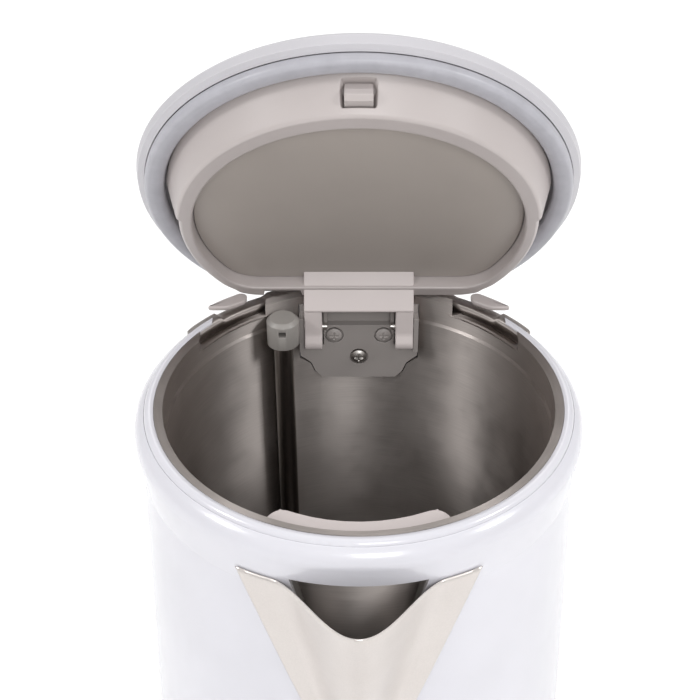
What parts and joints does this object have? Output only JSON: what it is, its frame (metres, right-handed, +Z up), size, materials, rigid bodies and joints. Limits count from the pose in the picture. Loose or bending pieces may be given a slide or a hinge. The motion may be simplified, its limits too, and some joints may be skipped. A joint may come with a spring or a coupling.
{
  "type": "electric kettle",
  "caption": "Double-wall electric kettle with a round body, a folded steel beak, a handle and a sprung lid standing open, on a round power base.",
  "frame": {"origin": "centre of the ring of base feet, on the plane they stand on and on the axis of the kettle", "axes": "+Z up along the axis of the kettle, -Y towards the beak, +Y towards the handle"},
  "size_m": [0.152, 0.1981, 0.3312],
  "materials": {
    "shell_white": "glossy",
    "plastic_light": "satin",
    "plastic_grey": "satin",
    "plastic_dark": "matte",
    "rubber_feet": "matte",
    "silicone_seal": "matte",
    "steel_liner": "brushed",
    "steel_satin": "satin",
    "steel_screw": "polished",
    "aluminium_plate": "cast",
    "brass_contact": "polished"
  },
  "bodies": {
    "base": {"base_cover": "shell_white", "base_plate": "plastic_grey", "base_feet": "rubber_feet", "base_screws": "steel_screw", "base_hub": "plastic_dark", "hub_contacts": "brass_contact", "cord_gland": "plastic_dark"},
    "coupler": {"kettle_coupler": "plastic_dark"},
    "kettle": {"outer_shell": "shell_white", "top_collar": "shell_white", "inner_liner": "steel_liner", "bottom_cover": "plastic_grey", "cover_screws": "steel_screw", "heater_plate": "aluminium_plate", "heater_ring": "steel_liner", "control_unit": "plastic_dark", "spout_beak": "steel_satin", "spout_duct": "plastic_grey", "hinge_bracket": "plastic_grey", "bracket_screws": "steel_screw", "hinge_pins": "steel_screw", "steam_tube": "steel_satin", "tube_cap": "plastic_grey", "rear_cover": "plastic_light", "handle_shell": "shell_white", "handle_grip": "plastic_grey", "lever_pin": "steel_screw"},
    "filter": {"filter_frame": "plastic_light", "filter_mesh": "steel_satin"},
    "lid": {"lid_shell": "plastic_light", "lid_seal": "silicone_seal", "lid_plug": "plastic_light", "lid_plate": "plastic_light", "lid_arm": "plastic_light"},
    "button": {"lid_button": "plastic_light"},
    "latch": {"latch_bolt": "plastic_light"},
    "lever": {"power_lever": "plastic_grey"}
  },
  "joints": [
    {"name": "kettle_lift", "type": "slide", "parent": "base", "child": "coupler", "axis": [0, 0, 1], "range_m": [0, 0.08]},
    {"name": "kettle_swivel", "type": "hinge", "parent": "coupler", "child": "kettle", "pos_m": [0, 0, 0.025], "axis": [0, 0, 1], "continuous": true},
    {"name": "filter_pull", "type": "slide", "parent": "kettle", "child": "filter", "axis": [0, 1, 0], "range_m": [0, 0.015]},
    {"name": "lid_hinge", "type": "hinge", "parent": "kettle", "child": "lid", "pos_m": [0, 0.0546, 0.212], "axis": [1, 0, 0], "range_deg": [0, 64], "stiffness_Nm_per_rad": 0.06, "springref_deg": -20.05},
    {"name": "button_press", "type": "slide", "parent": "lid", "child": "button", "axis": [0, -0.8988, -0.4384], "range_m": [0, 0.0022], "stiffness_N_per_m": 400, "springref_m": -0.002},
    {"name": "latch_slide", "type": "slide", "parent": "lid", "child": "latch", "axis": [0, 0.4384, -0.8988], "range_m": [0, 0.0024]},
    {"name": "lever_tilt", "type": "hinge", "parent": "kettle", "child": "lever", "pos_m": [0, 0.066, 0.0385], "axis": [1, 0, 0], "range_deg": [-9, 9]}
  ],
  "couplings": [
    {"joint": "latch_slide", "follows": "button_press", "ratio": 1}
  ]
}
